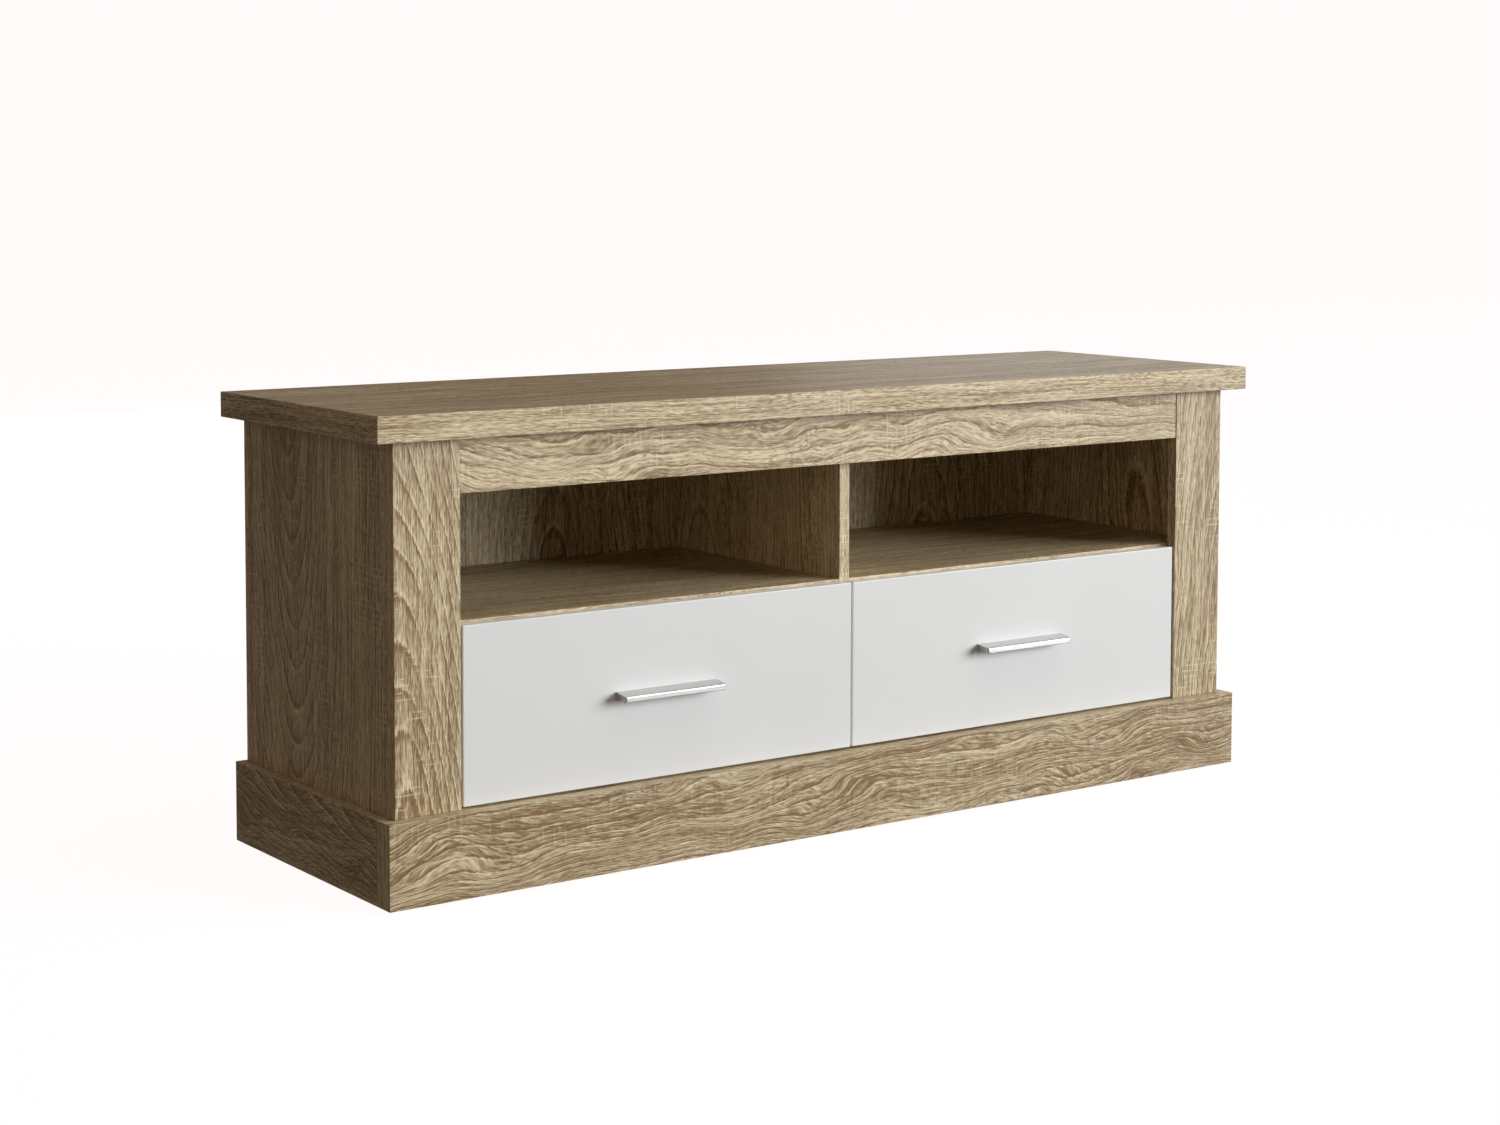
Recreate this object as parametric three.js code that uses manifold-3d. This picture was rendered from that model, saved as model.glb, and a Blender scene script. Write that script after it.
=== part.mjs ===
// Media stand in wood-decor board: a thick overhanging top, wide front stiles with an apron between
// them, two open bays over two white drawers side by side, and a stepped plinth all round.
// Millimetres, +Z up, front towards -Y, origin at the bottom centre of the whole stand.

import * as THREE from 'three';
import { mergeVertices } from 'three/addons/utils/BufferGeometryUtils.js';
import Module from 'manifold-3d';

const wasm = await Module();
wasm.setup();

// ---- driving dimensions ----

// carcass
const carcassWidth = 1340;
const carcassDepth = 397;
const overallHeight = 578;
const board = 16;
const backThickness = 3;
const backInset = 2;
const shelfTop = 327;

// top
const topSideOverhang = 30;
const topFrontOverhang = 20;

// front frame
const stileWidth = 88;
const apronHeight = 66;
const apronRecess = 1;

// plinth and glides
const plinthHeight = 102;
const plinthProjection = 16;
const glideHeight = 3;
const glideRadius = 7.5;
const glideChamfer = 1;
const nailRadius = 1;
const nailLength = 14;
const glideInset = 45;

// drawer fronts
const frontRecess = 1.5;
const frontSideGap = 3.5;
const frontMiddleGap = 3;
const frontBottomGap = 3;
const frontStandoff = 1;
const shelfReveal = 3;

// drawer boxes
const boxSideThickness = 12;
const boxTopClearance = 28;
const boxBottomThickness = 3;
const boxBottomLift = 10;
const boxRearInset = 2;
const grooveDepth = 6;

// roller runners
const runnerFrontInset = 1.5;
const runnerRearClearance = 27;
const runnerSpace = 12.5;
const runnerLift = 6;
const railLift = 4.5;
const railFootInset = 2;
const sheet = 1.2;
const rollerRadius = 9;
const rollerChamfer = 0.8;
const rollerSideClearance = 1.5;
const axleRadius = 2;
const axleInset = 14;
const flangeRelief = 3;

// bar handles
const handleLength = 150;
const handleProjection = 21;
const handleHeight = 10.5;
const handleBackHeight = 7.5;
const handleDrop = 2.5;
const handleWeb = 4.5;
const handleLip = 4;
const handleFoot = 16;
const handleRound = 2.5;
const handleToe = 1;
const handleCornerRound = 3;
const screwInset = 11;
const screwRadius = 2;
const screwHeadRadius = 4;
const screwHeadHeight = 2.4;
const screwGrip = 7;
const screwTip = 1;

// clearances
const gap = 0.3;
const runningGap = 0.3;
const overcut = 1;

// ---- levels and planes worked out from them ----
// x runs across from the centre, y back from the outer face of the stiles, z up from the floor

const halfWidth = carcassWidth / 2;
const innerHalf = halfWidth - board;
const topThickness = 2 * board;
const openingHalf = halfWidth - stileWidth;
const plinthTop = glideHeight + plinthHeight;
const bottomTop = plinthTop + board;
const shelfUnderside = shelfTop - board;
const topUnderside = overallHeight - topThickness;
const apronBottom = topUnderside - apronHeight;
const apronBack = apronRecess + board;
const rearEdge = carcassDepth - gap;
const topDepth = topFrontOverhang + carcassDepth + backThickness;
const plinthHalf = halfWidth + plinthProjection;

const frontBack = frontRecess + board;
const innerSetback = frontBack + frontStandoff;
const frontBottom = plinthTop + frontBottomGap;
const frontTop = shelfTop - shelfReveal;
const frontInner = frontMiddleGap / 2;
const frontOuter = openingHalf - frontSideGap;
const frontMiddleX = (frontInner + frontOuter) / 2;

const runnerZ = bottomTop + runnerLift;
const runnerFront = innerSetback + runnerFrontInset;
const runnerBack = carcassDepth - runnerRearClearance;
const channelHeight = 2 * (sheet + runningGap + rollerRadius);
const channelWeb = gap + sheet;
const railTop = channelHeight + 2 * sheet;
const railWeb = runnerSpace - gap - sheet;
const channelLip = railWeb - 2 * gap;
const rearRollerLift = sheet + runningGap + rollerRadius;
const frontRollerLift = railTop - runningGap - rollerRadius;
const rollerNear = channelWeb + rollerSideClearance;
const rollerFar = railWeb - rollerSideClearance;
const rollerMiddle = (rollerNear + rollerFar) / 2;
const axleRecess = 1;

const boxInnerX = board / 2 + runnerSpace;
const boxOuterX = openingHalf - runnerSpace;
const boxBottomZ = runnerZ + railLift + sheet + gap;
const boxTopZ = shelfUnderside - boxTopClearance;
const boxFrontY = frontBack + gap;
const boxBackY = runnerBack - boxRearInset;
const grooveZ = boxBottomZ + boxBottomLift;
const grooveHeight = boxBottomThickness + 2 * gap;
const grooveFloor = grooveDepth - gap;

const handleTop = (frontBottom + frontTop + handleHeight) / 2;
const screwZ = handleTop - handleBackHeight / 2;
const screwSpacing = handleLength - 2 * screwInset;

// ---- materials ----

const finish = (color, roughness, metalness = 0) =>
  new THREE.MeshStandardMaterial({ color, roughness, metalness });
const oakDecor = () => finish('#ab9470', 0.55);
const whiteLaminate = () => finish('#e2e2e0', 0.35);
const drawerBoard = () => finish('#dcdad4', 0.5);
const hardboard = () => finish('#7d6247', 0.7);
const coatedSteel = () => finish('#d9d9d6', 0.4, 0.3);
const nylon = () => finish('#eceae2', 0.45);
const satinZinc = () => finish('#b9babb', 0.3, 0.9);
const platedSteel = () => finish('#a9aaa8', 0.35, 0.9);
const blackPlastic = () => finish('#2c2b2a', 0.6);

// ---- helpers ----

const stand = new THREE.Group();
const media = new THREE.Group();
media.position.y = topFrontOverhang - topDepth / 2;
stand.add(media);

function add(name, geometry, material) {
  const mesh = new THREE.Mesh(geometry, material);
  mesh.name = name;
  media.add(mesh);
}

function block([x0, x1], [y0, y1], [z0, z1]) {
  const geometry = new THREE.BoxGeometry(x1 - x0, y1 - y0, z1 - z0);
  return geometry.translate((x0 + x1) / 2, (y0 + y1) / 2, (z0 + z1) / 2);
}

// the same range on either side of the centre line: side is -1 on the left and +1 on the right
const mirrored = (side, inner, outer) => (side < 0 ? [-outer, -inner] : [inner, outer]);

function prism(outline, length, xAxis, yAxis) {
  const settings = { depth: length, bevelEnabled: false, curveSegments: 6 };
  const geometry = new THREE.ExtrudeGeometry(outline, settings);
  const zAxis = new THREE.Vector3().crossVectors(xAxis, yAxis);
  return geometry.applyMatrix4(new THREE.Matrix4().makeBasis(xAxis, yAxis, zAxis));
}

const alongX = new THREE.Vector3(1, 0, 0);
const alongY = new THREE.Vector3(0, 1, 0);
const alongZ = new THREE.Vector3(0, 0, 1);

// an outline in x and z, extruded from y0 back to y1
const alongDepth = (outline, y0, y1) => prism(outline, y1 - y0, alongX, alongZ).translate(0, y1, 0);

// an outline in y and z, extruded from x0 to x1
const alongWidth = (outline, x0, x1) => prism(outline, x1 - x0, alongY, alongZ).translate(x0, 0, 0);

const outlineOf = (points) => new THREE.Shape(points.map(([a, b]) => new THREE.Vector2(a, b)));

function rod(radius, length, segments = 24) {
  return new THREE.CylinderGeometry(radius, radius, length, segments);
}

function solid(geometry) {
  const bare = geometry.clone();
  bare.deleteAttribute('normal');
  bare.deleteAttribute('uv');
  const merged = mergeVertices(bare, 1e-4);
  const vertProperties = new Float32Array(merged.attributes.position.array);
  const triVerts = new Uint32Array(merged.index.array);
  return new wasm.Manifold(new wasm.Mesh({ numProp: 3, vertProperties, triVerts }));
}

function geometryOf(manifold) {
  const { vertProperties, triVerts } = manifold.getMesh();
  const geometry = new THREE.BufferGeometry();
  geometry.setAttribute('position', new THREE.BufferAttribute(new Float32Array(vertProperties), 3));
  geometry.setIndex(new THREE.BufferAttribute(new Uint32Array(triVerts), 1));
  const flat = geometry.toNonIndexed();
  flat.computeVertexNormals();
  return flat;
}

const cut = (geometry, tools) =>
  geometryOf(tools.reduce((body, tool) => body.subtract(solid(tool)), solid(geometry)));

// ---- top, shelves, bottom and partition ----

add('top_panel', block(
  [-halfWidth - topSideOverhang, halfWidth + topSideOverhang],
  [-topFrontOverhang, topDepth - topFrontOverhang],
  [topUnderside, overallHeight],
), oakDecor());

add('bottom_panel', block(
  [-innerHalf + gap, innerHalf - gap],
  [innerSetback, rearEdge],
  [plinthTop, bottomTop],
), oakDecor());

add('centre_partition', block(
  [-board / 2, board / 2],
  [innerSetback, rearEdge],
  [bottomTop + gap, topUnderside - gap],
), oakDecor());

// ---- nail-on glides under the side panels and the centre support ----

const nailHole = (x, y) => rod(nailRadius + gap, nailLength + 2 * gap, 16)
  .rotateX(Math.PI / 2)
  .translate(x, y, glideHeight + nailLength / 2);

function glide(x, y) {
  const head = glideHeight - gap;
  const profile = [
    [0, 0], [glideRadius - glideChamfer, 0], [glideRadius, glideChamfer], [glideRadius, head],
    [nailRadius, head], [nailRadius, glideHeight + nailLength - glideChamfer],
    [0, glideHeight + nailLength - gap],
  ];
  return new THREE.LatheGeometry(profile.map(([r, z]) => new THREE.Vector2(r, z)), 24)
    .rotateX(Math.PI / 2)
    .translate(x, y, 0);
}

const glideRows = [['front', glideInset], ['rear', carcassDepth - glideInset]];

function footedBoard(name, xRange, yRange, zTop) {
  const x = (xRange[0] + xRange[1]) / 2;
  const holes = glideRows.map(([, y]) => nailHole(x, y));
  add(name, cut(block(xRange, yRange, [glideHeight, zTop]), holes), oakDecor());
  return x;
}

// ---- side panels, stiles, plinth, runner panels, shelves and backs, a left and a right of each ----

for (const [hand, side] of [['left', -1], ['right', 1]]) {
  const panelX = footedBoard(
    `${hand}_side_panel`,
    mirrored(side, innerHalf, halfWidth),
    [board, rearEdge],
    topUnderside - gap,
  );
  for (const [row, y] of glideRows) {
    add(`${hand}_${row}_glide`, glide(panelX, y), blackPlastic());
  }

  add(`${hand}_stile`, block(
    mirrored(side, openingHalf, halfWidth),
    [0, board - gap],
    [plinthTop + gap, topUnderside - gap],
  ), oakDecor());

  add(`${hand}_plinth`, block(
    mirrored(side, halfWidth + gap, plinthHalf),
    [board, rearEdge],
    [glideHeight, plinthTop],
  ), oakDecor());

  add(`${hand}_shelf`, block(
    mirrored(side, board / 2 + gap, innerHalf - gap),
    [innerSetback, rearEdge],
    [shelfUnderside, shelfTop],
  ), oakDecor());

  add(`${hand}_runner_panel`, block(
    mirrored(side, openingHalf, openingHalf + board),
    [innerSetback, rearEdge],
    [bottomTop + gap, shelfUnderside - gap],
  ), oakDecor());

  add(`${hand}_back_panel`, block(
    mirrored(side, gap, halfWidth - backInset),
    [carcassDepth, carcassDepth + backThickness],
    [plinthTop, topUnderside - gap],
  ), hardboard());
}

// ---- apron, plinth front and the supports under the bottom panel ----

add('apron', block(
  [-openingHalf + gap, openingHalf - gap],
  [apronRecess, apronBack],
  [apronBottom, topUnderside - gap],
), oakDecor());

add('plinth_front', block(
  [-plinthHalf, plinthHalf],
  [-plinthProjection, board - gap],
  [glideHeight, plinthTop],
), oakDecor());

add('rear_rail', block(
  [-innerHalf + gap, innerHalf - gap],
  [rearEdge - board, rearEdge],
  [glideHeight, plinthTop - gap],
), oakDecor());

const supportX = footedBoard(
  'centre_support',
  [-board / 2, board / 2],
  [board, rearEdge - board - gap],
  plinthTop - gap,
);
for (const [row, y] of glideRows) {
  add(`centre_${row}_glide`, glide(supportX, y), blackPlastic());
}

// ---- roller runners ----
// Sections are drawn from the wall the runner is screwed to (0) towards the drawer box.

const handed = (wallX, direction, points) =>
  outlineOf(points.map(([out, up]) => [wallX + direction * out, runnerZ + up]));

function roller(wallX, direction, y, lift) {
  const half = (rollerFar - rollerNear) / 2;
  const bore = axleRadius + runningGap;
  const section = [
    [bore, -half], [rollerRadius - rollerChamfer, -half], [rollerRadius, rollerChamfer - half],
    [rollerRadius, half - rollerChamfer], [rollerRadius - rollerChamfer, half], [bore, half], [bore, -half],
  ];
  return new THREE.LatheGeometry(section.map(([r, a]) => new THREE.Vector2(r, a)), 32)
    .rotateZ(Math.PI / 2)
    .translate(wallX + direction * rollerMiddle, y, runnerZ + lift);
}

// a riveted axle between two distances from the wall
const axle = (wallX, direction, from, to, y, lift) => rod(axleRadius, to - from)
  .rotateZ(Math.PI / 2)
  .translate(wallX + direction * (from + to) / 2, y, runnerZ + lift);

const frontRollerY = runnerFront + axleInset;
const rearRollerY = runnerBack - axleInset;

// the channel on the cabinet wall, open towards the drawer, with its top flange cut away at the roller
function cabinetRunner(wallX, direction) {
  const channel = alongDepth(handed(wallX, direction, [
    [gap, 0], [channelLip, 0], [channelLip, sheet], [channelWeb, sheet],
    [channelWeb, channelHeight - sheet], [channelLip, channelHeight - sheet],
    [channelLip, channelHeight], [gap, channelHeight],
  ]), runnerFront, runnerBack);
  const reliefFrom = channelWeb + gap;
  const reliefBottom = channelHeight - sheet - overcut;
  const relief = alongDepth(handed(wallX, direction, [
    [reliefFrom, reliefBottom], [runnerSpace, reliefBottom],
    [runnerSpace, channelHeight + overcut], [reliefFrom, channelHeight + overcut],
  ]), runnerFront - overcut, frontRollerY + rollerRadius + flangeRelief);
  const [from, to] = [channelWeb - sheet / 2, rollerFar - axleRecess];
  const pin = axle(wallX, direction, from, to, frontRollerY, frontRollerLift);
  return geometryOf(solid(channel).subtract(solid(relief)).add(solid(pin)));
}

// the angle under the drawer side, with a flange over the cabinet roller and an axle at its rear end
function drawerRunner(wallX, direction) {
  const foot = runnerSpace + boxSideThickness - railFootInset;
  const flange = channelWeb + gap;
  const angle = alongDepth(handed(wallX, direction, [
    [railWeb, railLift], [foot, railLift], [foot, railLift + sheet],
    [railWeb + sheet, railLift + sheet], [railWeb + sheet, railTop + sheet],
    [flange, railTop + sheet], [flange, railTop], [railWeb, railTop],
  ]), boxFrontY, runnerBack);
  const [from, to] = [rollerNear + axleRecess, railWeb + sheet / 2];
  const pin = axle(wallX, direction, from, to, rearRollerY, rearRollerLift);
  return geometryOf(solid(angle).add(solid(pin)));
}

// ---- drawers ----

function drawerFront(xRange) {
  const slot = block(
    [(xRange[0] < 0 ? -boxOuterX : boxInnerX) + gap, (xRange[0] < 0 ? -boxInnerX : boxOuterX) - gap],
    [frontBack - grooveDepth, frontBack + overcut],
    [grooveZ, grooveZ + grooveHeight],
  );
  const centre = (xRange[0] + xRange[1]) / 2;
  const holes = [-1, 1].map((end) => rod(screwRadius + gap, board + 2 * overcut)
    .translate(centre + end * screwSpacing / 2, (frontRecess + frontBack) / 2, screwZ));
  return cut(block(xRange, [frontRecess, frontBack], [frontBottom, frontTop]), [slot, ...holes]);
}

// a drawer side with the groove for the bottom; inward is the direction of the drawer's inside
function boxSide(outerX, inward) {
  const at = (into, z) => [outerX + inward * into, z];
  return alongDepth(outlineOf([
    at(0, boxBottomZ), at(boxSideThickness, boxBottomZ), at(boxSideThickness, grooveZ),
    at(boxSideThickness - grooveDepth, grooveZ), at(boxSideThickness - grooveDepth, grooveZ + grooveHeight),
    at(boxSideThickness, grooveZ + grooveHeight), at(boxSideThickness, boxTopZ), at(0, boxTopZ),
  ]), boxFrontY, boxBackY);
}

// a cast bar pull: its top falls towards a rounded lip, with a foot at each end and a finger recess between
function handle(centreX) {
  const face = frontRecess - gap;
  const lipY = face - handleProjection;
  const foot = handleTop - handleHeight;
  const roundZ = handleTop - handleDrop - handleRound;
  const section = new THREE.Shape();
  section.moveTo(face, handleTop);
  section.lineTo(face, handleTop - handleBackHeight);
  section.lineTo(lipY + handleToe, foot);
  section.lineTo(lipY, foot + handleToe);
  section.lineTo(lipY, roundZ);
  section.absarc(lipY + handleRound, roundZ, handleRound, Math.PI, Math.PI / 2, true);

  const left = centreX - handleLength / 2;
  const right = centreX + handleLength / 2;
  const round = handleCornerRound;
  const plan = new THREE.Shape();
  plan.moveTo(left, face);
  plan.lineTo(left, lipY + round);
  plan.absarc(left + round, lipY + round, round, Math.PI, 1.5 * Math.PI, false);
  plan.absarc(right - round, lipY + round, round, 1.5 * Math.PI, 2 * Math.PI, false);
  plan.lineTo(right, face);

  const bar = solid(alongWidth(section, left, right));
  const planHeight = handleHeight + 2 * overcut;
  const rounded = solid(prism(plan, planHeight, alongX, alongY).translate(0, 0, foot - overcut));
  const recess = solid(block(
    [left + handleFoot, right - handleFoot],
    [lipY + handleLip, face + overcut],
    [foot - overcut, handleTop - handleWeb],
  ));
  const holes = [-1, 1].map((end) => solid(rod(screwRadius + gap, screwGrip + 2 * gap)
    .translate(centreX + end * screwSpacing / 2, face - screwGrip / 2, screwZ)));
  const body = bar.intersect(rounded).subtract(recess);
  return geometryOf(holes.reduce((rest, hole) => rest.subtract(hole), body));
}

// a pan-head screw from inside the drawer, through the front and into the handle's foot
function handleScrew(x) {
  const tip = frontRecess - gap - screwGrip + 2 * gap;
  const seat = frontBack + gap;
  const profile = [
    [0, tip], [screwRadius, tip + screwTip], [screwRadius, seat], [screwHeadRadius, seat],
    [screwHeadRadius, seat + screwHeadHeight / 2], [screwHeadRadius - screwTip, seat + screwHeadHeight],
    [0, seat + screwHeadHeight],
  ];
  return new THREE.LatheGeometry(profile.map(([r, y]) => new THREE.Vector2(r, y)), 24)
    .translate(x, 0, screwZ);
}

for (const [hand, side] of [['left', -1], ['right', 1]]) {
  const drawer = `${hand}_drawer`;
  const centreX = side * frontMiddleX;
  add(`${drawer}_front`, drawerFront(mirrored(side, frontInner, frontOuter)), whiteLaminate());
  add(`${drawer}_handle`, handle(centreX), satinZinc());
  for (const [end, sign] of [['left', -1], ['right', 1]]) {
    add(`${drawer}_${end}_screw`, handleScrew(centreX + sign * screwSpacing / 2), platedSteel());
  }

  const [boxLeft, boxRight] = mirrored(side, boxInnerX, boxOuterX);
  const walls = [
    ['left', boxLeft, 1, boxLeft - runnerSpace],
    ['right', boxRight, -1, boxRight + runnerSpace],
  ];
  for (const [end, outerX, inward, wallX] of walls) {
    add(`${drawer}_${end}_side`, boxSide(outerX, inward), drawerBoard());
    add(`${drawer}_${end}_runner`, drawerRunner(wallX, inward), coatedSteel());
    add(`${drawer}_${end}_roller`, roller(wallX, inward, rearRollerY, rearRollerLift), nylon());
    add(`${hand}_bay_${end}_runner`, cabinetRunner(wallX, inward), coatedSteel());
    add(`${hand}_bay_${end}_roller`, roller(wallX, inward, frontRollerY, frontRollerLift), nylon());
  }

  add(`${drawer}_back`, block(
    [boxLeft + boxSideThickness + gap, boxRight - boxSideThickness - gap],
    [boxBackY - boxSideThickness, boxBackY],
    [grooveZ + grooveHeight, boxTopZ],
  ), drawerBoard());

  add(`${drawer}_bottom`, block(
    [boxLeft + boxSideThickness - grooveFloor, boxRight - boxSideThickness + grooveFloor],
    [frontBack - grooveFloor, boxBackY],
    [grooveZ + gap, grooveZ + gap + boxBottomThickness],
  ), drawerBoard());
}

export default stand;
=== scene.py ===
import math

import bmesh
import bpy
from mathutils import Matrix, Vector


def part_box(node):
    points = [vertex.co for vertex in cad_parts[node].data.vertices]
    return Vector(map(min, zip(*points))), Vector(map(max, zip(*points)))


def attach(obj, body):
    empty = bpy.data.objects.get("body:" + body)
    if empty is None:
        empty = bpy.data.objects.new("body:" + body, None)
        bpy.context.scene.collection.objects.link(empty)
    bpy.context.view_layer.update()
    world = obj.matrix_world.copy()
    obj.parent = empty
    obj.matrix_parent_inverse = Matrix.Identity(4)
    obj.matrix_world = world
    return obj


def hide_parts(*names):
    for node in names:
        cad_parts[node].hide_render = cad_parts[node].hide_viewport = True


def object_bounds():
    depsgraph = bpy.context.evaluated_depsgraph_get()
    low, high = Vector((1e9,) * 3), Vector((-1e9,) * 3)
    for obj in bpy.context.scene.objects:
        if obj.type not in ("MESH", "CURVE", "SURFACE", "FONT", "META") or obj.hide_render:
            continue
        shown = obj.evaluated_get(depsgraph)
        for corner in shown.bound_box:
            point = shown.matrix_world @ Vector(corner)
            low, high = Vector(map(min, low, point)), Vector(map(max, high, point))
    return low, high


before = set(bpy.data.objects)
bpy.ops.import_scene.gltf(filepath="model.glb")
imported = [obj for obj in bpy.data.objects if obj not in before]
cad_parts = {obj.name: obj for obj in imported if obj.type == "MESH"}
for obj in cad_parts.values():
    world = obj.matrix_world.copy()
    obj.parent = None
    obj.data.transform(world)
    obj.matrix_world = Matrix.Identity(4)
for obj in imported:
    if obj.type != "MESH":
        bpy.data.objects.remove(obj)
cad_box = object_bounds()


# ---------------------------------------------------------------------------------------------
# Carcass boards: melamine-faced chipboard, 16 mm, printed as a pale rough-sawn oak.
# Sawn to size on a panel saw, then edged with a thin ABS band in the same print; the band is
# trimmed flush with a small radius. The edges at the back and on the floor are left raw.
# ---------------------------------------------------------------------------------------------

MM = 0.001
X, Y, Z = 0, 1, 2
REAR, UNDER = (Y, 1), (Z, -1)
BOARD_ARRIS = 0.7 * MM

# the print's inks, from the darkest latewood to the palest early wood
LATEWOOD = "#84693f"
EARLY_WOOD = "#e6d9b6"
PORE_BROWN = "#6b5337"
SAWN_CREAM = "#e9dfc8"


def linear(hex_colour):
    """An sRGB hex colour as linear RGBA."""
    parts = [int(hex_colour[i:i + 2], 16) / 255 for i in (1, 3, 5)]
    return [c / 12.92 if c <= 0.04045 else ((c + 0.055) / 1.055) ** 2.4 for c in parts] + [1.0]


def node(tree, kind, inputs, out=None, **settings):
    """Adds a shader node with its settings. Returns the node, or one of its outputs.

    Inputs are values or sockets to link from, by name in a dict or in order in a tuple.
    """
    made = tree.nodes.new("ShaderNode" + kind)
    for key, value in settings.items():
        setattr(made, key, value)
    for key, value in inputs.items() if isinstance(inputs, dict) else enumerate(inputs):
        if isinstance(value, bpy.types.NodeSocket):
            tree.links.new(value, made.inputs[key])
        else:
            made.inputs[key].default_value = value
    return made if out is None else made.outputs[out]


def new_material(name):
    material = bpy.data.materials.new(name)
    material.use_nodes = True
    material.node_tree.nodes.clear()
    return material, material.node_tree


def oak_decor(name, ring_mm, ring_strength, saw_strength):
    """Paper printed as sawn oak under clear melamine: satin, with the pores pressed in."""
    material, tree = new_material(name)
    place = node(tree, "Attribute", {}, "Vector", attribute_name="grain")
    along, across, seed = node(tree, "SeparateXYZ", (place,)).outputs
    log = node(tree, "Attribute", {}, "Vector", attribute_name="log")
    from_heart, depth, brown = node(tree, "SeparateXYZ", (log,)).outputs
    wander = node(tree, "Attribute", {}, "Fac", attribute_name="wander")

    def streaks(pitch_along, sideways, pitch_across, shift, detail=2.0):
        """Noise with its own pitch in millimetres along and across the grain of each board."""
        u = node(tree, "Math", (along, pitch_along * MM), 0, operation="DIVIDE")
        v = node(tree, "Math", (sideways, pitch_across * MM), 0, operation="DIVIDE")
        sheet = node(tree, "Math", (seed, shift), 0, operation="ADD")
        spot = node(tree, "CombineXYZ", (u, v, sheet), 0)
        return node(tree, "TexNoise", {"Vector": spot, "Scale": 1.0, "Detail": detail}, "Fac")

    # growth rings: the saw cuts a leaning, slightly wandering log, so its rings run as long
    # arches near the heart and as straight lines away from it
    swing = node(tree, "MapRange", (streaks(260, across, 120, 0.0), 0.0, 1.0, -0.1, 0.1), 0)
    sway = node(tree, "Math", (wander, swing), 0, operation="MULTIPLY")
    flow = node(tree, "Math", (across, sway), 0, operation="ADD")
    offset = node(tree, "Math", (from_heart, sway), 0, operation="ADD")
    heave = node(tree, "MapRange", (streaks(420, across, 300, 11.3, 1.0), 0.0, 1.0, -0.02, 0.02), 0)
    below = node(tree, "Math", (depth, heave), 0, operation="ADD")
    squared = node(tree, "Math", (below, below), 0, operation="MULTIPLY")
    squared = node(tree, "Math", (offset, offset, squared), 0, operation="MULTIPLY_ADD")
    radius = node(tree, "Math", (squared,), 0, operation="SQRT")
    ripple = node(tree, "Math", (streaks(9, flow, 2.2, 5.1, 1.0), 0.5), 0, operation="SUBTRACT")
    grown = node(tree, "Math", (ripple, 2.0 * MM, radius), 0, operation="MULTIPLY_ADD")
    count = node(tree, "Math", (grown, ring_mm * MM), 0, operation="DIVIDE")
    year = node(tree, "Math", (count,), 0, operation="FRACT")

    # each ring pales quickly from its start, stays even, then darkens sharply into latewood
    ring_shape = node(tree, "ValToRGB", (year,))
    ramp = ring_shape.color_ramp
    ramp.elements[0].position, ramp.elements[0].color = 0.0, (1, 1, 1, 1)
    ramp.elements[1].position, ramp.elements[1].color = 1.0, (0.4, 0.4, 0.4, 1)
    for position, grey in ((0.08, 1.0), (0.17, 0.58), (0.6, 0.5), (0.78, 0.38),
                           (0.85, 0.0), (0.94, 0.0)):
        stop = ramp.elements.new(position)
        stop.color = (grey, grey, grey, 1)
    fade = node(tree, "MapRange", (streaks(150, flow, 40, 21.7, 1.0), 0.32, 0.56, 0.3, 1.0), 0)
    ring_tone = node(tree, "Math", (ring_shape.outputs["Color"], 0.5), 0, operation="SUBTRACT")
    ring_tone = node(tree, "Math", (ring_tone, fade), 0, operation="MULTIPLY")

    # some years are paler than others, two rings or so at a time
    years = node(tree, "Math", (count, 0.5), 0, operation="MULTIPLY")
    drift = node(tree, "Math", (along, 1.5), 0, operation="MULTIPLY")
    band_spot = node(tree, "CombineXYZ", (years, seed, drift), 0)
    band = node(tree, "TexNoise", {"Vector": band_spot, "Scale": 1.0, "Detail": 3.0}, "Fac")
    band = node(tree, "Math", (band, 0.5), 0, operation="SUBTRACT")

    # fibres 1 to 3 mm wide, and dark pores of about 1 x 9 mm, each with a painted highlight on one
    # side
    fibre = node(tree, "Math", (streaks(14, flow, 1.5, 31.9, 1.0), 0.5), 0, operation="SUBTRACT")
    straight = node(tree, "Math", (streaks(90, flow, 2.2, 36.2), 0.5), 0, operation="SUBTRACT")
    broad = node(tree, "Math", (streaks(380, flow, 13, 27.4), 0.5), 0, operation="SUBTRACT")
    pore_patch = node(tree, "MapRange", (streaks(110, flow, 24, 51.0), 0.38, 0.6, 0.3, 1.0), 0)
    pore = node(tree, "MapRange", (streaks(8, flow, 1.4, 41.2, 0.0), 0.54, 0.68), 0)
    pore = node(tree, "Math", (pore, pore_patch), 0, operation="MULTIPLY")
    # the pale lip beside each pore is a painted highlight, where light would catch the rim of the
    # pressed pore
    beside = node(tree, "Math", (flow, 1.0 * MM), 0, operation="ADD")
    painted_lip_highlight = node(tree, "MapRange", (streaks(8, beside, 1.4, 41.2, 0.0), 0.54, 0.68), 0)
    painted_lip_highlight = node(tree, "Math", (painted_lip_highlight, pore_patch), 0, operation="MULTIPLY")

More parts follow.
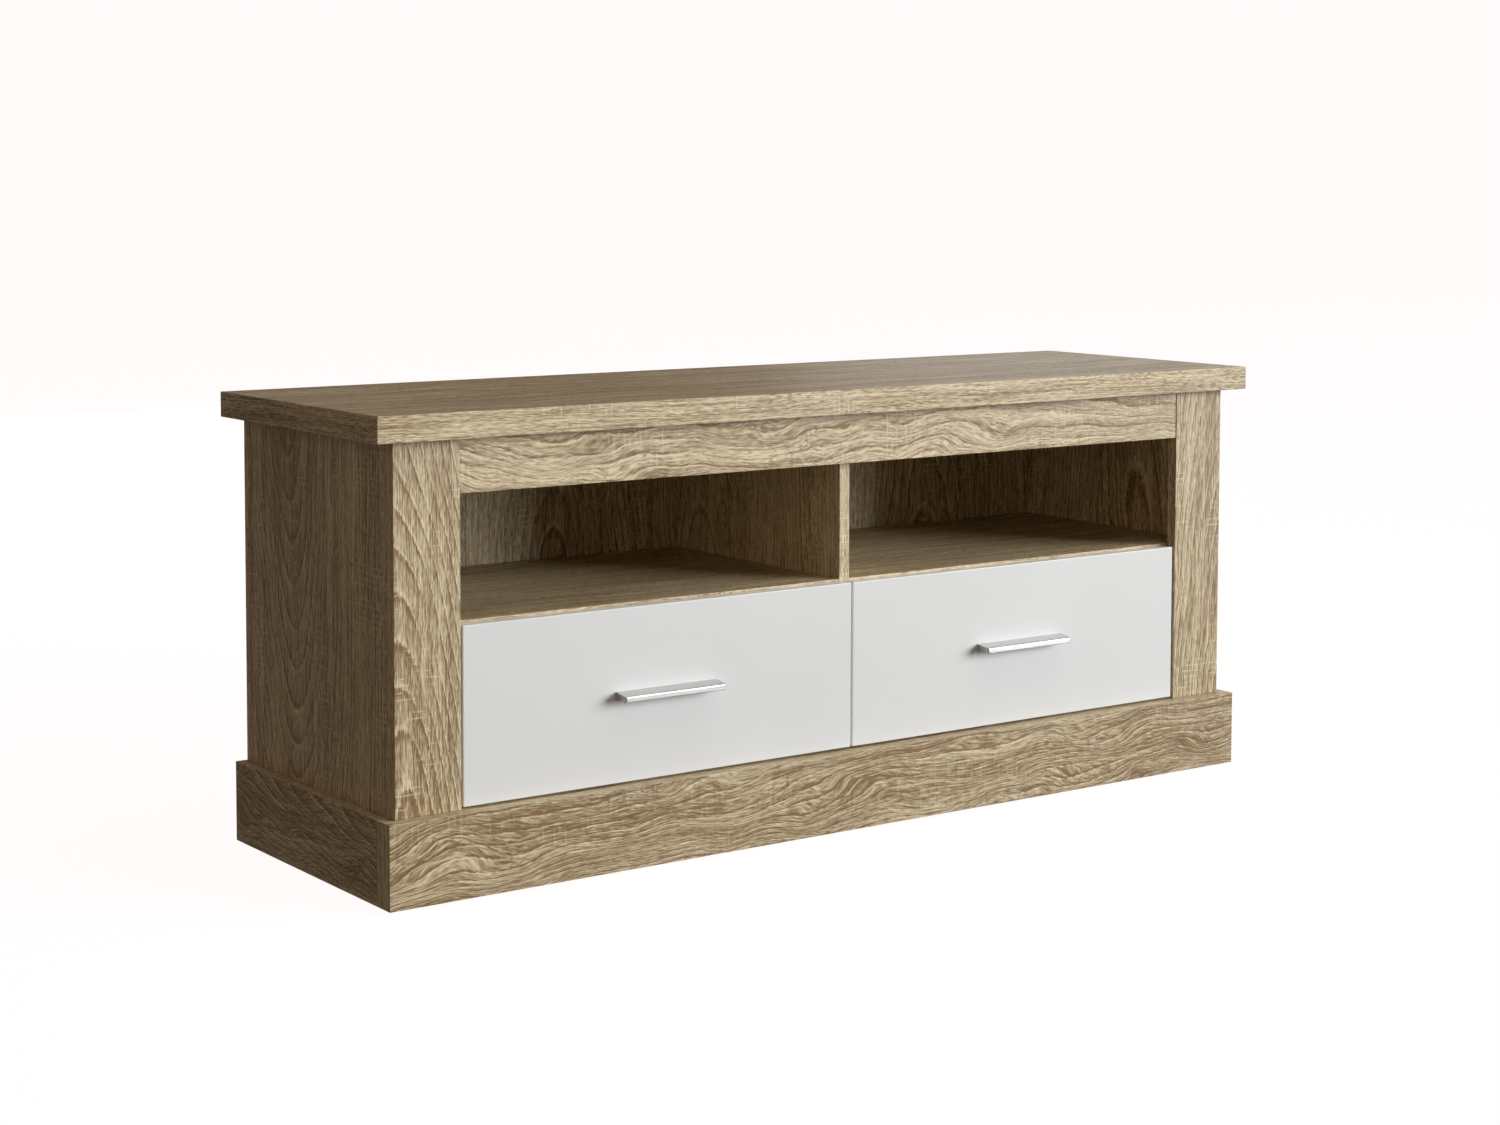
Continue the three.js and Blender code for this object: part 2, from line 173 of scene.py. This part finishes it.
    # pale saw marks: thin lines square to the grain, about 8 mm apart, broken and in patches,
    # and weaker on a darker print
    teeth = node(tree, "Math", (along, 8.0 * MM), 0, operation="DIVIDE")
    teeth = node(tree, "Math", (streaks(90, across, 90, 61.4, 1.0), teeth), 0, operation="ADD")
    teeth = node(tree, "Math", (teeth,), 0, operation="FRACT")
    tick = node(tree, "Math", (teeth, 0.5), 0, operation="SUBTRACT")
    tick = node(tree, "Math", (tick,), 0, operation="ABSOLUTE")
    tick = node(tree, "MapRange", (tick, 0.16, 0.06), 0)
    broken = node(tree, "MapRange", (streaks(7, across, 26, 66.0, 1.0), 0.48, 0.56), 0)
    patch = node(tree, "MapRange", (streaks(110, across, 45, 71.0, 1.0), 0.53, 0.62), 0)
    weaker = node(tree, "MapRange", (brown, 0.4, 0.9, 1.0, 0.3), 0)
    for share in (broken, patch, saw_strength, weaker):
        tick = node(tree, "Math", (tick, share), 0, operation="MULTIPLY")

    # the layers add up to a place between the darkest and the palest ink
    cloud = node(tree, "Math", (streaks(420, across, 90, 81.0), 0.5), 0, operation="SUBTRACT")
    heartwood = node(tree, "MapRange", (radius, 0.05, 0.15, -0.14, 0.05), 0)
    pale = node(tree, "Math", (heartwood, 0.62), 0, operation="ADD")
    for layer, weight in ((brown, -0.42), (ring_tone, ring_strength), (fibre, 1.6), (straight, 1.3),
                          (broad, 1.1), (painted_lip_highlight, 0.12), (band, 0.35), (cloud, 0.4)):
        pale = node(tree, "Math", (layer, weight, pale), 0, operation="MULTIPLY_ADD")
    ink = node(tree, "Mix", {"Factor": pale, "A": linear(LATEWOOD), "B": linear(EARLY_WOOD)},
               "Result", data_type="RGBA")
    pore_ink = node(tree, "Math", (pore, 0.6), 0, operation="MULTIPLY")
    ink = node(tree, "Mix", {"Factor": pore_ink, "A": ink, "B": linear(PORE_BROWN)},
               "Result", data_type="RGBA")
    ink = node(tree, "Mix", {"Factor": tick, "A": ink, "B": linear(SAWN_CREAM)},
               "Result", data_type="RGBA")

    # the press plate sinks the pores a little below the fibres and leaves them duller
    height = node(tree, "Math", (ring_tone, 0.3), 0, operation="MULTIPLY")
    height = node(tree, "Math", (height, pore), 0, operation="SUBTRACT")
    height = node(tree, "Math", (fibre, 0.6, height), 0, operation="MULTIPLY_ADD")
    bump = node(tree, "Bump", {"Height": height, "Strength": 0.6, "Distance": 0.08 * MM}, 0)
    gloss = node(tree, "Math", (pore, 0.2, 0.48), 0, operation="MULTIPLY_ADD")
    gloss = node(tree, "Math", (fibre, 0.25, gloss), 0, operation="MULTIPLY_ADD")
    shader = node(tree, "BsdfPrincipled",
                  {"Base Color": ink, "Roughness": gloss, "Normal": bump, "IOR": 1.5,
                   "Specular IOR Level": 0.4}, 0)
    node(tree, "OutputMaterial", (shader,))
    return material


def raw_chipboard():
    """Pressed wood chips, 1 to 4 mm, with resin: dry, open and speckled."""
    material, tree = new_material("raw_chipboard_edge")
    place = node(tree, "TexCoord", {}, "Object")
    chips = node(tree, "TexVoronoi", {"Vector": place, "Scale": 1 / (2.5 * MM), "Randomness": 1.0})
    dust = node(tree, "TexNoise", {"Vector": place, "Scale": 1 / (0.8 * MM), "Detail": 2.0}, "Fac")
    mottle = node(tree, "Math", (dust, 0.4), 0, operation="MULTIPLY")
    mottle = node(tree, "Math", (chips.outputs["Color"], 0.6, mottle), 0, operation="MULTIPLY_ADD")
    colour = node(tree, "Mix", {"Factor": mottle, "A": linear("#94754c"), "B": linear("#d9c196")},
                  "Result", data_type="RGBA")
    bump = node(tree, "Bump", {"Height": chips.outputs["Distance"], "Strength": 0.6,
                               "Distance": 0.3 * MM}, 0)
    shader = node(tree, "BsdfPrincipled",
                  {"Base Color": colour, "Roughness": 0.85, "Normal": bump,
                   "Specular IOR Level": 0.2}, 0)
    node(tree, "OutputMaterial", (shader,))
    return material


OAK_FACE = oak_decor("oak_melamine_face", 8.0, 0.85, 0.45)
OAK_BAND = oak_decor("oak_abs_edge_band", 7.0, 0.45, 0.5)
RAW_EDGE = raw_chipboard()


def piece_from(name, mesh_builder, materials, body):
    """A finished piece: its mesh built by the given function, with its materials, on its body."""
    mesh = bpy.data.meshes.new(name)
    bm = bmesh.new()
    mesh_builder(bm)
    bm.to_mesh(mesh)
    bm.free()
    for material in materials:
        mesh.materials.append(material)
    piece = bpy.data.objects.new(name, mesh)
    bpy.context.scene.collection.objects.link(piece)
    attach(piece, body)
    return piece


def bevelled_box(bm, lo, hi, arris):
    bmesh.ops.create_cube(bm, size=1.0)
    size = hi - lo
    for vertex in bm.verts:
        vertex.co = Vector([lo[i] + (vertex.co[i] + 0.5) * size[i] for i in range(3)])
    bmesh.ops.bevel(bm, geom=list(bm.edges), offset=arris, segments=2, affect="EDGES", profile=0.6)


def board(cad_node, body, grain_axis, seed, heart=0.12, lean=0.0, depth=0.08, taper=0.12,
          brown=0.35, wander=0.2, rings=1.0, raw=(), slots=None,
          arris=BOARD_ARRIS, box=None):
    """A banded board in place of its CAD node. Its corners carry the print's place on the board.

    The log's heart lies at heart to the side of the board's middle and depth below it, and moves
    by lean and taper for each metre along the grain. Brown is how dark the sheet was printed, and
    on the centre partition a paler setting also paints light onto its shaded faces; wander is how
    far its fibres swing from side to side, and rings how closely the log grew.
    """
    lo, hi = (Vector(corner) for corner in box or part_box(cad_node))
    size = hi - lo
    middle = (lo + hi) / 2
    thin = min(range(3), key=lambda i: size[i])

    # an edge band is one narrow, nearly straight-grained strip, a little paler than the face
    band_heart, band_wander, band_brown = 0.2, 0.05, 0.3 * brown

    def build(bm):
        bevelled_box(bm, lo, hi, arris)
        grain = bm.loops.layers.float_vector.new("grain")
        log = bm.loops.layers.float_vector.new("log")
        swing = bm.loops.layers.float.new("wander")
        for face in bm.faces:
            facing = max(range(3), key=lambda i: abs(face.normal[i]))
            side = (facing, 1 if face.normal[facing] > 0 else -1)
            others = [i for i in range(3) if i != facing]
            on_face = facing == thin
            u_axis = grain_axis if on_face else max(others, key=lambda i: size[i])
            v_axis = next(i for i in others if i != u_axis)
            face.material_index = 2 if side in raw else 0 if on_face else 1
            # every side of the board shows its own part of the print
            sheet = seed + (0.0 if on_face else 3.7 + facing) + (0.6 if side[1] < 0 else 0.0)
            for loop in face.loops:
                along, across = (loop.vert.co - middle)[u_axis], (loop.vert.co - middle)[v_axis]
                aside = across - heart - lean * along if on_face else across - band_heart
                below = depth + taper * along
                loop[grain] = Vector((along, across, sheet))
                loop[log] = Vector((aside * rings, below * rings, brown if on_face else band_brown))
                loop[swing] = wander if on_face else band_wander

    piece = piece_from(cad_node + "_board", build, slots or [OAK_FACE, OAK_BAND, RAW_EDGE], body)
    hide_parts(cad_node)
    return piece


board("top_panel", "carcass", X, 2.0, heart=0.25, lean=0.06, depth=0.1, taper=-0.04, brown=0.95,
      wander=0.35, rings=1.3)
board("bottom_panel", "carcass", X, 5.0, raw=[REAR])
# the partition's paler print is painted light: it brightens its faces in the shaded bays
board("centre_partition", "carcass", Z, 8.0, brown=-0.3, raw=[REAR])
board("left_side_panel", "carcass", Z, 11.0, heart=0.05, lean=0.06, depth=0.09, taper=-0.16,
      wander=0.12, raw=[REAR, UNDER])
board("right_side_panel", "carcass", Z, 14.0, heart=-0.07, lean=0.08, depth=0.1, taper=0.06,
      wander=0.3, raw=[REAR, UNDER])
board("left_shelf", "carcass", X, 17.0, heart=0.2, raw=[REAR])
board("right_shelf", "carcass", X, 20.0, heart=0.2, raw=[REAR])
board("left_runner_panel", "carcass", Y, 23.0, raw=[REAR])
board("right_runner_panel", "carcass", Y, 26.0, raw=[REAR])
board("rear_rail", "carcass", X, 29.0, raw=[UNDER])
board("centre_support", "carcass", Y, 32.0, raw=[UNDER, REAR])


# ---------------------------------------------------------------------------------------------
# Front frame and plinth: the same board. Two upright stiles cover the front edges of the sides,
# the apron runs between them under the top, and the plinth is planted on round the bottom.
# ---------------------------------------------------------------------------------------------

board("left_stile", "carcass", Z, 36.3, heart=-0.045, lean=-0.1, depth=0.075, taper=0.13,
      wander=0.06, raw=[UNDER])
board("right_stile", "carcass", Z, 38.0, heart=0.07, taper=0.16, wander=0.1, raw=[UNDER])
board("apron", "carcass", X, 43.2, heart=0.1, lean=-0.05, depth=0.12, taper=0.03, brown=0.3,
      wander=0.5)
board("plinth_front", "carcass", X, 44.0, heart=0.1, lean=0.04, depth=0.1, taper=0.03, brown=0.8,
      wander=0.6, rings=1.3, raw=[UNDER])
for hand, seed in (("left", 47.0), ("right", 50.0)):
    board(f"{hand}_plinth", "carcass", Y, seed, heart=0.07, lean=0.1, depth=0.1, taper=0.06,
          brown=0.8, wander=0.6, rings=1.4, raw=[UNDER, REAR])


# ---------------------------------------------------------------------------------------------
# Back panels: 3 mm hardboard, nailed on. The side towards the bays is foiled to match the oak,
# the outside is the plain brown board. The nails are bright zinc-plated steel with flat heads.
# ---------------------------------------------------------------------------------------------

NAIL_HEAD = 0.5 * MM
NAIL_RADIUS = 2.25 * MM
NAIL_CROWN_RADIUS = 1.7 * MM
NAIL_SUNK = 0.2 * MM
NAIL_INSET = 8 * MM
NAIL_PITCH = 130 * MM
NAIL_SIDES = 12


def hardboard():
    """Steam-pressed wood fibre: a matt, cloudy brown with a fine felted surface."""
    material, tree = new_material("hardboard_raw_back")
    place = node(tree, "TexCoord", {}, "Object")
    # felted fibres of about 1 mm, under clouds of about 70 mm
    fibre = node(tree, "TexNoise", {"Vector": place, "Scale": 900.0, "Detail": 3.0}, "Fac")
    cloud = node(tree, "TexNoise", {"Vector": place, "Scale": 14.0, "Detail": 2.0}, "Fac")
    mixed = node(tree, "Math", (fibre, 0.5), 0, operation="MULTIPLY")
    mixed = node(tree, "Math", (cloud, 0.5, mixed), 0, operation="MULTIPLY_ADD")
    colour = node(tree, "Mix", {"Factor": mixed, "A": linear("#86664a"), "B": linear("#b4926a")},
                  "Result", data_type="RGBA")
    bump = node(tree, "Bump", {"Height": fibre, "Strength": 0.4, "Distance": 0.2 * MM}, 0)
    shader = node(tree, "BsdfPrincipled",
                  {"Base Color": colour, "Roughness": 0.75, "Normal": bump,
                   "Specular IOR Level": 0.25}, 0)
    node(tree, "OutputMaterial", (shader,))
    return material


def brushed_metal(name, colour, roughness, scratch_axis, strength):
    """Plated metal rubbed along one axis: fine scratches that draw its highlights out."""
    material, tree = new_material(name)
    place = node(tree, "TexCoord", {}, "Object")
    # real scratches are too fine to show, so these are 0.6 mm apart and 30 mm long
    pitch = [1 / (0.6 * MM)] * 3
    pitch[scratch_axis] = 1 / (30 * MM)
    stretched = node(tree, "VectorMath", (place, pitch), 0, operation="MULTIPLY")
    brush = node(tree, "TexNoise", {"Vector": stretched, "Scale": 1.0, "Detail": 2.0}, "Fac")
    gloss = node(tree, "Math", (brush, strength, roughness - strength / 2), 0,
                 operation="MULTIPLY_ADD")
    bump = node(tree, "Bump", {"Height": brush, "Strength": 0.15, "Distance": 0.03 * MM}, 0)
    tone = node(tree, "MapRange", (brush, 0.3, 0.7, 0.94, 1.0), 0)
    tinted = node(tree, "VectorMath", {0: linear(colour)[:3], "Scale": tone}, 0, operation="SCALE")
    shader = node(tree, "BsdfPrincipled",
                  {"Base Color": tinted, "Metallic": 1.0, "Roughness": gloss, "Normal": bump}, 0)
    node(tree, "OutputMaterial", (shader,))
    return material


HARDBOARD = hardboard()
ZINC = brushed_metal("bright_zinc_plated_steel", "#bfc1c2", 0.3, Y, 0.1)


def back_panel(cad_node, seed):
    """The panel's outer face lies a nail head inside its CAD solid, so that the nails end flush."""
    lo, hi = (Vector(corner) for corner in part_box(cad_node))
    hi.y -= NAIL_HEAD
    piece = board(cad_node, "carcass", Z, seed, slots=[OAK_FACE, HARDBOARD, HARDBOARD],
                  box=(lo, hi), arris=0.2 * MM)
    for polygon in piece.data.polygons:
        if polygon.normal.y > 0.5:
            polygon.material_index = 1
    return lo, hi


def nails(name, lo, hi, material):
    """Round heads all round the panel, evenly spaced, at about one pitch."""

    def spread(start, end):
        count = round((end - start) / NAIL_PITCH)
        return [start + (end - start) * i / count for i in range(count + 1)]

    left, right = lo.x + NAIL_INSET, hi.x - NAIL_INSET
    low, high = lo.z + NAIL_INSET, hi.z - NAIL_INSET
    spots = {(x, z) for x in spread(left, right) for z in (low, high)}
    spots |= {(x, z) for x in (left, right) for z in spread(low, high)}
    profile = ((NAIL_RADIUS, -NAIL_SUNK), (NAIL_RADIUS, 0.3 * NAIL_HEAD),
               (NAIL_CROWN_RADIUS, 0.99 * NAIL_HEAD))

    def build(bm):
        turns = [math.tau * i / NAIL_SIDES for i in range(NAIL_SIDES)]
        for x, z in sorted(spots):
            rings = [[bm.verts.new((x + r * math.cos(a), hi.y + h, z + r * math.sin(a)))
                      for a in turns] for r, h in profile]
            for inner, outer in zip(rings, rings[1:]):
                for i in range(NAIL_SIDES):
                    bm.faces.new((inner[i - 1], outer[i - 1], outer[i], inner[i]))
            bm.faces.new(rings[0])
            bm.faces.new(reversed(rings[-1]))
        bmesh.ops.recalc_face_normals(bm, faces=bm.faces)

    piece_from(name, build, [material], "carcass")


for hand, seed in (("left", 53.0), ("right", 56.0)):
    nails(f"{hand}_back_nails", *back_panel(f"{hand}_back_panel", seed), ZINC)


# ---------------------------------------------------------------------------------------------
# Drawer fronts: the same chipboard in satin white melamine, pressed, then edged all round with
# a slightly glossier white ABS band that is rounded a little more than the oak one.
# ---------------------------------------------------------------------------------------------

FRONT_ARRIS = 1.2 * MM


def satin_white(name, colour, roughness, bump_strength):
    """A pressed, sprayed or moulded plain surface: satin, with a faint peel and slight clouds."""
    material, tree = new_material(name)
    place = node(tree, "TexCoord", {}, "Object")
    # peel of 1.6 mm, coarser than the real one so that it shows, and clouds of 200 mm
    peel = node(tree, "TexNoise", {"Vector": place, "Scale": 1 / (1.6 * MM), "Detail": 2.0}, "Fac")
    cloud = node(tree, "TexNoise", {"Vector": place, "Scale": 5.0, "Detail": 2.0}, "Fac")
    shade = node(tree, "MapRange", (cloud, 0.3, 0.7, 0.975, 1.0), 0)
    tinted = node(tree, "VectorMath", {0: linear(colour)[:3], "Scale": shade}, 0, operation="SCALE")
    gloss = node(tree, "Math", (peel, 0.1, roughness - 0.05), 0, operation="MULTIPLY_ADD")
    bump = node(tree, "Bump", {"Height": peel, "Strength": bump_strength, "Distance": 0.05 * MM}, 0)
    shader = node(tree, "BsdfPrincipled",
                  {"Base Color": tinted, "Roughness": gloss, "Normal": bump, "IOR": 1.5,
                   "Specular IOR Level": 0.45}, 0)
    node(tree, "OutputMaterial", (shader,))
    return material


WHITE_FACE = satin_white("white_melamine_face", "#e5e9eb", 0.38, 0.25)
# the band is a paler white than the face as a painted highlight on the rounded edges; its lower
# roughness is the real glossier ABS
WHITE_BAND_PAINTED_HIGHLIGHT = satin_white("white_abs_edge_band_painted_highlight", "#f4f6f7", 0.2, 0.1)

for hand in ("left", "right"):
    board(f"{hand}_drawer_front", f"{hand}_drawer", X, 0.0, slots=[WHITE_FACE, WHITE_BAND_PAINTED_HIGHLIGHT, WHITE_BAND_PAINTED_HIGHLIGHT],
          arris=FRONT_ARRIS)


# ---------------------------------------------------------------------------------------------
# Drawer boxes: 12 mm sides and back wrapped in a warm white foil, with a thin bottom of the same
# colour sliding in their grooves. The foil is matt and follows the sawn edges closely.
# ---------------------------------------------------------------------------------------------

FOIL_ARRIS = 0.4 * MM
WHITE_BOX = satin_white("white_foil_drawer_board", "#e4e2dc", 0.5, 0.3)


def finish_with(cad_node, material, arris_width=0.0):
    """Gives a CAD node its material and, where its edges would catch light, a small arris."""
    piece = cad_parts[cad_node]
    piece.data.materials.clear()
    piece.data.materials.append(material)
    if arris_width:
        arris = piece.modifiers.new("arris", "BEVEL")
        arris.width = arris_width
        arris.segments = 2
        arris.limit_method = "ANGLE"
        arris.angle_limit = math.radians(30)


for hand in ("left", "right"):
    for part in ("left_side", "right_side", "back"):
        finish_with(f"{hand}_drawer_{part}", WHITE_BOX, FOIL_ARRIS)
    finish_with(f"{hand}_drawer_bottom", WHITE_BOX)


# ---------------------------------------------------------------------------------------------
# Bar handles: die-cast zinc alloy with a satin nickel plating, brushed along its length, and
# screwed on from inside the drawer, through the front.
# ---------------------------------------------------------------------------------------------

CASTING_ARRIS = 0.4 * MM
SATIN_NICKEL = brushed_metal("satin_nickel_plated_zinc", "#cfcfce", 0.36, X, 0.12)

for hand in ("left", "right"):
    finish_with(f"{hand}_drawer_handle", SATIN_NICKEL, CASTING_ARRIS)
    for end in ("left", "right"):
        finish_with(f"{hand}_drawer_{end}_screw", ZINC)


# ---------------------------------------------------------------------------------------------
# Roller runners: rolled steel sheet, white epoxy powder coat, with moulded nylon rollers on
# riveted axles. The glides under the stand are moulded polypropylene, nailed in.
# ---------------------------------------------------------------------------------------------

EPOXY = satin_white("white_epoxy_powder_coat", "#e2e2df", 0.42, 0.5)
NYLON = satin_white("moulded_nylon", "#ece9df", 0.45, 0.15)
GLIDE = satin_white("black_polypropylene", "#262524", 0.5, 0.3)

for hand in ("left", "right"):
    for end in ("left", "right"):
        for owner in ("bay", "drawer"):
            finish_with(f"{hand}_{owner}_{end}_runner", EPOXY)
            finish_with(f"{hand}_{owner}_{end}_roller", NYLON)
for column in ("left", "centre", "right"):
    for row in ("front", "rear"):
        finish_with(f"{column}_{row}_glide", GLIDE)


# ---------------------------------------------------------------------------------------------
# Stage: a plain pale floor, a soft key light from the front right, dim warm fills on the other
# sides, and the camera at the front left, a little above the top.
# ---------------------------------------------------------------------------------------------

FLOOR_HALF_SIZE = 60.0
STUDIO_WHITE = "#fffafa"

scene = bpy.context.scene
scene.view_settings.view_transform = "Standard"

floor_mesh = bpy.data.meshes.new("floor")
floor_bm = bmesh.new()
bmesh.ops.create_grid(floor_bm, x_segments=1, y_segments=1, size=FLOOR_HALF_SIZE)
floor_bm.to_mesh(floor_mesh)
floor_bm.free()
floor = bpy.data.objects.new("floor", floor_mesh)
scene.collection.objects.link(floor)

# a backlit floor: mostly its own even glow, with enough paint to take a soft shadow
floor_material, floor_tree = new_material("pale_studio_floor")
paint = node(floor_tree, "BsdfDiffuse", {"Color": linear("#f4efee")}, 0)
glow = node(floor_tree, "Emission", {"Color": linear(STUDIO_WHITE), "Strength": 1.13}, 0)
both = node(floor_tree, "MixShader", (0.12, glow, paint), 0)
node(floor_tree, "OutputMaterial", (both,))
floor_mesh.materials.append(floor_material)
floor.visible_diffuse = False
floor.visible_glossy = False

world = bpy.data.worlds.new("studio")
scene.world = world
world.use_nodes = True
sky = world.node_tree
sky.nodes.clear()
seen = node(sky, "Background", {"Color": linear(STUDIO_WHITE), "Strength": 1.0}, 0)
fill = node(sky, "Background", {"Color": linear("#d8c0ac"), "Strength": 0.12}, 0)
mirrored = node(sky, "Background", {"Color": linear("#eeeae6"), "Strength": 0.25}, 0)
path = node(sky, "LightPath", {})
ambient = node(sky, "MixShader", (path.outputs["Is Glossy Ray"], fill, mirrored), 0)
chosen = node(sky, "MixShader", (path.outputs["Is Camera Ray"], ambient, seen), 0)
node(sky, "OutputWorld", (chosen,))

centre = (cad_box[0] + cad_box[1]) / 2


def softbox(name, azimuth, elevation, distance, size, power, colour="#ffffff"):
    """An area light aimed at the stand; azimuth is measured from the front towards the right."""
    light = bpy.data.lights.new(name, "AREA")
    light.shape = "RECTANGLE"
    light.size, light.size_y = size
    light.energy = power
    light.color = linear(colour)[:3]
    lamp = bpy.data.objects.new(name, light)
    scene.collection.objects.link(lamp)
    a, e = math.radians(azimuth), math.radians(elevation)
    away = Vector((math.sin(a) * math.cos(e), -math.cos(a) * math.cos(e), math.sin(e)))
    lamp.location = centre + away * distance
    lamp.rotation_euler = (-away).to_track_quat("-Z", "Y").to_euler()
    return lamp


softbox("key", 48, 11, 20.0, (13.0, 9.0), 4650)
softbox("overhead", 20, 68, 3.4, (2.6, 1.6), 24, "#fff4ea")
softbox("left_fill", -50, 14, 6.0, (4.0, 3.0), 25, "#ffd9ba")
softbox("rear_fill", 178, 10, 6.0, (4.0, 3.0), 130, "#fff0e0").visible_glossy = False
softbox("top_sheen", 130, 8, 8.0, (3.6, 1.6), 60).visible_diffuse = False

camera_data = bpy.data.cameras.new("camera")
camera = bpy.data.objects.new("camera", camera_data)
scene.collection.objects.link(camera)
scene.camera = camera
camera_data.sensor_width = 36.0
camera_data.lens = 63.8
camera_data.shift_y = -0.14
camera.location = (-2.110, -2.890, 0.8535)
yaw, pitch, roll = math.radians(35.76), math.radians(3.85), math.radians(0.14)
camera.rotation_euler = (Matrix.Rotation(-yaw, 4, "Z") @ Matrix.Rotation(math.pi / 2 - pitch, 4, "X")
                         @ Matrix.Rotation(roll, 4, "Z")).to_euler()
